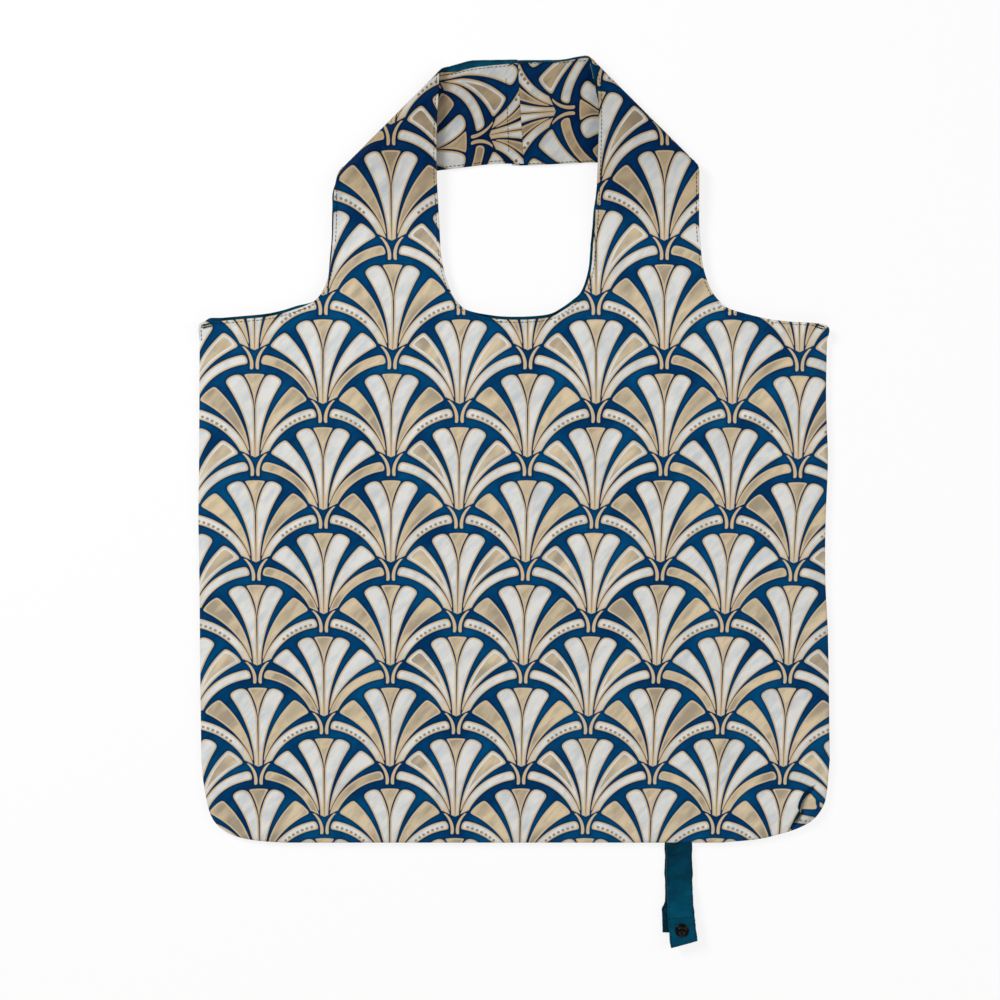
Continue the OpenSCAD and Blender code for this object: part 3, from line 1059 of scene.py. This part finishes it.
def strapEdges(left):
    # outer and inner edges of a strap, from the crease to where it folds, and on along the bar
    if left:
        outer = [(-145.5, creaseY), (-144.8, 485), (-144.2, 505), (-143.8, 520), (-141.8, 531), (-141, 545),
                 (-142, 570), (-144.2, 610), (-144.2, 700)]
        inner = [(-59.8, creaseY), (-60.6, 492), (-61.6, 512), (-62.6, 535), (-62.4, 570), (-61, 600),
                 (-60.5, 620), (-60.5, 660), (-60.5, 700)]
    else:
        outer = [(148, creaseY), (146.9, 487), (146.4, 505), (146.4, 560), (146.4, 700)]
        inner = [(62.3, creaseY), (63.8, 490), (64.8, 512), (65.8, 535), (66.8, 570), (66.4, 598),
                 (63.8, 613), (61.5, 626), (61.5, 660), (61.5, 700)]
    return curve(outer, 3), curve(inner, 3)


def foldStrap(flat, left, layer, lift):
    # takes a point of the flat strap to its place on the folded one
    u, v = flat[:, 0], flat[:, 1]
    turn = -1.0 if left else 1.0
    c = handle["leftFold"] if left else handle["rightFold"]
    radius = layer["radius"]
    half = math.pi * radius / 2
    out = np.array([turn, 1]) / math.sqrt(2)
    ahead = (turn * u + v - c) / math.sqrt(2)
    foot = flat - ahead[:, None] * out
    past = ahead + layer["inset"] - half + radius
    angle = np.clip(past / radius, -math.pi / 2, math.pi / 2)
    reach = np.where(past < -half, past + half - radius,
                     np.where(past > half, half - past - radius, radius * np.cos(angle) - radius))
    over = 0.5 - 0.5 * np.sin(angle)
    xy = foot + (reach - layer["inset"])[:, None] * out
    # the bar's edges follow their own gentle curves
    share = np.clip((abs(u) - 61) / (145.5 - 61), 0, 1)
    top, low = curve(layer["top"], 3), curve(layer["foot"], 3)
    along = np.clip(xy[:, 0], -64, 66)
    wanted = (1 - share) * np.interp(along, top[:, 0], top[:, 1])
    wanted = wanted + share * np.interp(along, low[:, 0], low[:, 1])
    settle = smooth(0, 20, past) * smooth(-90, -60, xy[:, 0]) * (1 - smooth(60, 90, xy[:, 0]))
    xy[:, 1] += settle * (wanted - xy[:, 1])
    z = layer["foldZ"] + (layer["topZ"] - layer["foldZ"]) * over
    under = smooth(-0.5, 0.5, past / half)
    return np.column_stack([xy, lift(z, under, past)])


# the print on each half of the back handle's bar: a fan's foot on the flat strap, and its column and row
barPrints = {
    "left": {"foot": (-119.6, 657.1), "across": 0.86, "skew": -0.138, "along": 1.041, "column": 0, "row": 3},
    "right": {"foot": (101.8, 655.6), "across": 0.88, "skew": -0.035, "along": 1, "column": 2, "row": 3},
}


def barPlace(flat, left):
    # the print's place on the back handle, which is skewed a little where it crosses the bar
    bar = barPrints["left" if left else "right"]
    across, along = flat[:, 0] - bar["foot"][0], flat[:, 1] - bar["foot"][1]
    u = bar["across"] * across + bar["skew"] * along + bar["column"] * fan["columnStep"]
    v = bar["along"] * along + bar["row"] * fan["rowStep"]
    share = smooth(550, 625, flat[:, 1])[:, None]
    return printPlace(flat, True) * (1 - share) + np.stack([u, v], axis=1) * share


def makeHandleHalf(front, left):
    side = "front" if front else "back"
    layer = frontFold if front else backFold
    outer, inner = strapEdges(left)
    if not front:
        outer, inner = outer + backShift(outer), inner + backShift(inner)
    c = handle["leftFold"] if left else handle["rightFold"]
    turn = -1.0 if left else 1.0
    half = math.pi * layer["radius"] / 2
    spare = (half - layer["radius"] - layer["inset"]) * math.sqrt(2)       # cloth that goes round the fold

    def seamAt(x):
        # where along the strap it meets the other half
        return handle["seamX"] + handle["seamLean"] * (abs(x) - 103) / 41

    def cut(line):
        reach = c - turn * seamAt(line[:, 0]) + spare + (0 if left else handle["overlap"])
        keep = line[:, 1] < reach - 1
        return np.vstack([line[keep], [(line[keep][-1, 0], reach[keep][-1])]])

    outer, inner = cut(outer), cut(inner)
    end = spread([outer[-1], inner[-1]], 3)
    start = spread([inner[0], outer[0]], 2.5)
    border = chain(outer, end, inner[::-1], start)[:-1]
    closed = np.vstack([border, border[:1]])
    rows, seams = [], []
    for line, sign in ((outer, turn), (inner, -turn)):
        for distance in hemRows:
            row = offset(line, sign * distance)
            row = row[(gap(row, closed) > distance * 0.97)]
            rows.append(row)
            if distance == outline["stitchIn"]:
                seams.append(row)
    for past in np.linspace(-1, 1, 9) * half - layer["inset"] + half - layer["radius"]:
        xs = np.arange(-141, -64, 2.6) if left else np.arange(67, 144, 2.6)
        row = np.column_stack([xs, c - turn * xs + past * math.sqrt(2)])
        rows.append(row[gap(row, closed) > 7.4])
    if left:
        # topstitching beside the seam
        xs = np.arange(-140, -63, 2.6)
        row = np.column_stack([xs, c + seamAt(xs) + spare - 10.5 + 0.02 * (xs + 103)])
        row = row[gap(row, closed) > 7.4]
        rows.append(row)
        seams.append(row)
    flat, faces = triangulate(border, handle["spacing"], rows)
    ripple = np.zeros(len(flat))
    for k, line in enumerate((outer, inner)):
        near, along = locate(flat, line)
        ripple += hemShape(near, along, 0.4 + k + 2 * front)
    lines = bodyCloth[side][-1]
    atBody = bodyHeight(flat, lines, not front)

    def lift(z, under, past):
        # from the body's height at the crease, up to the fold, and down to the table past it
        height = z + (layer["barZ"] - layer["foldZ"]) * smooth(0, 30, past)
        sag = 0.25 * wobble(flat[:, 1] + 0.5 * flat[:, 0], 3.0 + left, 57) * smooth(10, 40, abs(past))
        meet = c - handle["seamX"] + spare
        lap = 0.0 if left else -0.7 * smooth(meet - 2, meet, flat[:, 1])
        height = height + sag + ripple * (1 - 2 * under) + lap
        away = smooth(creaseY, 540, flat[:, 1])
        return atBody + (height - atBody) * away

    points = foldStrap(flat, left, layer, lift)
    if not front:
        faces = [f[::-1] for f in faces]
    uv = printPlace(flat) if front else barPlace(flat, left)
    free = []
    for line in (outer, inner, end):
        row = rowIndex(flat, line)
        forward = (line is not inner) != left
        free.append(row if forward == front else row[::-1])
    label = side + "Handle" + ("Left" if left else "Right")
    up = matchCrease(points, vertexNormals(points, faces), lines, not front)
    piece = clothPiece(label, points, faces, uv, free, up)
    paths = []
    for line in seams:
        row = rowIndex(flat, line, 0.12)
        paths.append((points[row], up[row]))
        paths.append((points[row] - up[row] * cloth["thickness"], -up[row]))
    sewn = stitches(label + "Stitches", paths)
    declare(flat, faces, ["floor"])
    for each in (piece, sewn):
        ends = [tuple(place([[0, creaseY + reach, 4]])[0]) for reach in creaseReach]
        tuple(ends[0])
        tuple(ends[1])
        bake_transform(each)
    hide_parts(side + "_handle_" + ("left" if left else "right"))
    if left:
        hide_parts(side + "_handle_seam", "strap_hems_" + side)


for front in (True, False):
    for left in (True, False):
        makeHandleHalf(front, left)
print("handles made")


# Closing straps: flat satin tape, doubled, with a turned end and half of a press fastener on each

ties = {
    "centre": 131,
    "halfWidth": 10.2,
    "thickness": 0.9,
    "bend": 40,                 # from the bag to where a strap is cut in two
    "step": 1.1,
    "heldIn": 2.6,              # from the edge of the turned end to the row that holds it
    "across": (-1, -0.97, -0.9, -0.8, -0.62, -0.4, -0.2, 0, 0.2, 0.4, 0.62, 0.8, 0.9, 0.97, 1),
}
upperTie = {
    "name": "upperTie",
    "bodies": ("bag", "upper_strap", "upper_strap_end"),
    "path": [(131.2, 9), (131.2, -1), (131.2, -22), (131.6, -42), (132.4, -58), (133.9, -74),
             (134.8, -80.2)],
    "height": [(9, 3.9), (0, 3.9), (-6, 3.6), (-30, 4.2), (-46, 7.0), (-60, 8.0), (-83, 8.3)],
    "turned": 24,
    "slant": -0.115,
    "shade": 0,
    "nodes": (("upper_strap_base", "closing_strap_roots"), ("upper_strap_tip", "upper_strap_turning")),
}
lowerTie = {
    "name": "lowerTie",
    "bodies": ("bag", "lower_strap", "lower_strap_end"),
    "path": [(130, 9), (130, -1), (130.2, -22), (130.2, -46), (128.6, -56), (128.4, -71.5)],
    "height": [(9, 1.9), (0, 1.6), (-6, 1.3), (-30, 1.2), (-46, 2.6), (-60, 3.2), (-83, 3.2)],
    "turned": 20,
    "slant": 0.0,
    "shade": 60,                # painted shade: moves it to a darker part of the tape's painted sheen gradient
    "nodes": (("lower_strap_base",), ("lower_strap_tip", "lower_strap_turning")),
}


def makeTie(tie):
    line = curve(tie["path"], ties["step"])
    along = measure(line)
    total = along[-1]
    side = offset(line, 1) - line
    held = total - tie["turned"] + ties["heldIn"]
    heights = np.array(sorted(tie["height"]))
    wide = ties["halfWidth"] + 0.35 * wobble(along, 1.1, 31) + 0.5 * smooth(total - 26, total - 14, along)
    rows, rowsUv = [], []
    for t in ties["across"]:
        slide = tie["slant"] * t * ties["halfWidth"] * smooth(total - 22, total, along)
        spot = line + side * (t * wide)[:, None]
        spot[:, 1] -= slide
        z = np.interp(line[:, 1], heights[:, 0], heights[:, 1])
        turned = smooth(total - tie["turned"] - 0.8, total - tie["turned"] + 0.8, along)
        z = z + 0.6 * turned
        # the tape cups between its edge stitches, and its turned end is gathered by the row that holds it
        z = z + 0.35 * (1 - abs(t) ** 3) - 0.3 * bump(abs(t) - 0.82, 0.07) - 0.25 * bump(abs(t) - 1, 0.05)
        pinch = bump(along - held, 2.2) + 0.5 * bump(along - held - 5, 2.4)
        z = z - 0.7 * bump(along - held, 0.9) + 1.0 * pinch * wobble(t * 11 + along * 0.4, 2.0, 4.6)
        z = z + 0.3 * wobble(along + 5 * t, 0.3, 26) * (1 - 0.5 * turned)
        z = z + 0.4 * wobble(along, 1.7 + (t > 0), 5.2) * smooth(0.55, 0.95, abs(t))
        rows.append(np.column_stack([spot, z]))
        rowsUv.append(np.column_stack([np.full(len(along), t * ties["halfWidth"]), along - tie["shade"]]))
    grid, uv = np.array(rows), np.array(rowsUv)
    deep, bend = len(rows), ties["bend"]
    up = vertexNormals(grid.reshape(-1, 3), gridFaces(deep, len(along)))
    over = up[:, 2].mean() < 0
    up = (-up if over else up).reshape(grid.shape)
    # the root, at the bag, and the end, cut off part of the way along
    split = int(np.searchsorted(along, 5 + bend))
    for k, (start, stop) in enumerate(((0, split), (split, len(along) - 1))):
        piece, normals = grid[:, start:stop + 1], up[:, start:stop + 1]
        count = piece.shape[1]
        index = np.arange(deep * count).reshape(deep, count)
        faces = [f[::-1] if over else f for f in gridFaces(deep, count)]
        points, flatUv = piece.reshape(-1, 3), uv[:, start:stop + 1].reshape(-1, 2)
        edges = [index[0], index[-1][::-1]] + ([index[:, -1]] if k else [])
        free = []
        for row in edges:
            outward = np.cross(points[row[1]] - points[row[0]], normals.reshape(-1, 3)[row[0]])
            inward = points.mean(axis=0) - points[row].mean(axis=0)
            free.append(list(row) if outward @ inward < 0 else list(row)[::-1])
        name = tie["name"] + ("End" if k else "Root")
        sheet = clothPiece(name, points, faces, flatUv, free, normals.reshape(-1, 3), tape, tape,
                           ties["thickness"])
        paths = [(piece[row], normals[row]) for row in (2, deep - 3)]
        if k:
            column = int(np.searchsorted(along[start:], held))
            paths.append((piece[:, column], normals[:, column]))
        sewn = stitches(name + "Stitches", paths, pitch=2.7, length=1.9, wide=0.2)
        declare(flatUv, faces, ["floor"])
        bends = (4 - bend, -6 - bend) if k else (2, -4)
        ends = [tuple(place([[ties["centre"], y, 3]])[0]) for y in bends]
        for each in (sheet, sewn):
            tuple(ends[0])
            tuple(ends[1])
            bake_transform(each)
        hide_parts(*tie["nodes"][k])


makeTie(upperTie)
makeTie(lowerTie)


def turnedPart(name, profile, centre, sides=48):
    # a round part from its profile of (radius, height)
    x, y = centre
    profile = curve([(r, z) for r, z in profile], 0.18)
    points, faces = [], []
    for k in range(sides):
        angle = 2 * math.pi * k / sides
        for r, z in profile:
            points.append((x + r * math.cos(angle), y + r * math.sin(angle), z))
    count = len(profile)
    for k in range(sides):
        for j in range(count - 1):
            a, b = k * count + j, (k + 1) % sides * count + j
            faces.append((a, b, b + 1, a + 1))
    return makeMesh(name, np.array(points), faces, None, [snapPlastic])


snaps = {
    "socket": [(0.05, 10.2), (0.8, 10.2), (1.3, 10.1), (1.7, 10.2), (2.1, 10.9), (2.7, 11.2), (3.2, 11.0),
               (3.5, 10.3), (4.2, 10.2), (5.0, 10.1), (5.5, 9.7), (5.6, 9.1), (5.4, 8.6)],
    "stud": [(0.2, 6.0), (1.2, 5.9), (1.9, 5.5), (2.0, 5.0), (1.7, 4.4), (2.2, 4.2), (4.8, 4.1), (5.4, 3.8),
             (5.5, 3.4)],
    "socketCap": [(0.2, 5.0), (3.6, 5.2), (5.4, 5.6), (6, 6.2), (5.6, 6.7), (1, 6.8)],
    "studCap": [(0.2, 0.15), (3.6, 0.25), (5.4, 0.6), (6, 1.1), (5.6, 1.6), (1, 1.7)],
}
for label, centre, body, node in (("socket", (132.9, -69.2), "upper_strap_end", "snap_socket"),
                                  ("socketCap", (132.9, -69.2), "upper_strap_end", "snap_socket_cap"),
                                  ("stud", (129.5, -61), "lower_strap_end", "snap_stud"),
                                  ("studCap", (129.5, -61), "lower_strap_end", "snap_stud_cap")):
    part = turnedPart(label, snaps[label], centre)
    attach(part, body)
    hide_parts(node)
print("straps made")


# What isn't the object: floor, lamps and camera

stageSettings = {
    "floorSize": 3.0,
    "floorGlow": 0.8,
    "skyLight": 0.2,
    "skySeen": 0.96,            # how pale it looks to the camera, like the floor
    "cameraHeight": 1.889,
    "aim": (-12, 273.6),
    "lens": 85,
    "sensor": 36,
    # each lamp: where it stands, its size and its power; all of them face the middle
    "softboxLeft": ((-1.5, 1.1, 1.5), (0.9, 0.9), 43),
    "softboxRight": ((1.6, 0.2, 1.5), (1.2, 1.4), 15.5),
    "softboxLow": ((0.1, -1.7, 1.5), (1.6, 1.0), 13),
}


def makeStage():
    size = stageSettings["floorSize"]
    mesh = bpy.data.meshes.new("floor")
    mesh.from_pydata([(-size, -size, 0), (size, -size, 0), (size, size, 0), (-size, size, 0)], [],
                     [(0, 1, 2, 3)])
    graph = Graph("floorPaint")
    seen = graph.add("ShaderNodeLightPath", {}, None, "Is Camera Ray")
    seen = seen.most(seen.out("Is Glossy Ray")).most(seen.out("Is Transmission Ray"))
    matt = graph.add("ShaderNodeBsdfDiffuse", {}, {"Color": (0.92, 0.92, 0.92, 1)}, "BSDF")
    glow = graph.add("ShaderNodeEmission", {}, {"Color": (1, 1, 1, 1), "Strength": 1.0}, "Emission")
    both = graph.add("ShaderNodeMixShader", {}, [seen * stageSettings["floorGlow"], matt, glow])
    graph.tree.links.new(both.socket, graph.end.inputs["Surface"])
    mesh.materials.append(graph.material)
    floor = addObject("floor", mesh)
    floor.location.z = -0.0002


def makeLamp(name):
    spot, size, power = stageSettings[name]
    lamp = bpy.data.lights.new(name, "AREA")
    lamp.shape = "RECTANGLE"
    lamp.size, lamp.size_y = size
    lamp.energy = power
    holder = addObject(name, lamp)
    holder.location = spot
    holder.rotation_euler = (-Vector(spot)).to_track_quat("-Z", "Y").to_euler()


def makeLight():
    for name in ("softboxLeft", "softboxRight", "softboxLow"):
        makeLamp(name)
    world = bpy.data.worlds.new("studio")
    world.use_nodes = True
    tree = world.node_tree
    sky = tree.nodes["Background"]
    sky.inputs["Color"].default_value = (1, 1, 1, 1)
    seen = tree.nodes.new("ShaderNodeLightPath")
    strength = tree.nodes.new("ShaderNodeMapRange")
    strength.inputs["To Min"].default_value = stageSettings["skyLight"]
    strength.inputs["To Max"].default_value = stageSettings["skySeen"]
    tree.links.new(seen.outputs["Is Camera Ray"], strength.inputs["Value"])
    tree.links.new(strength.outputs["Result"], sky.inputs["Strength"])
    bpy.context.scene.world = world


def makeCamera():
    lens = bpy.data.cameras.new("camera")
    lens.lens = stageSettings["lens"]
    lens.sensor_width = stageSettings["sensor"]
    camera = addObject("camera", lens)
    x, y = stageSettings["aim"]
    camera.location = (x * mm, (y + seamY) * mm, stageSettings["cameraHeight"])
    bpy.context.scene.camera = camera


makeStage()
makeLight()
makeCamera()
bpy.context.scene.view_settings.view_transform = "Standard"

print("scene ready")
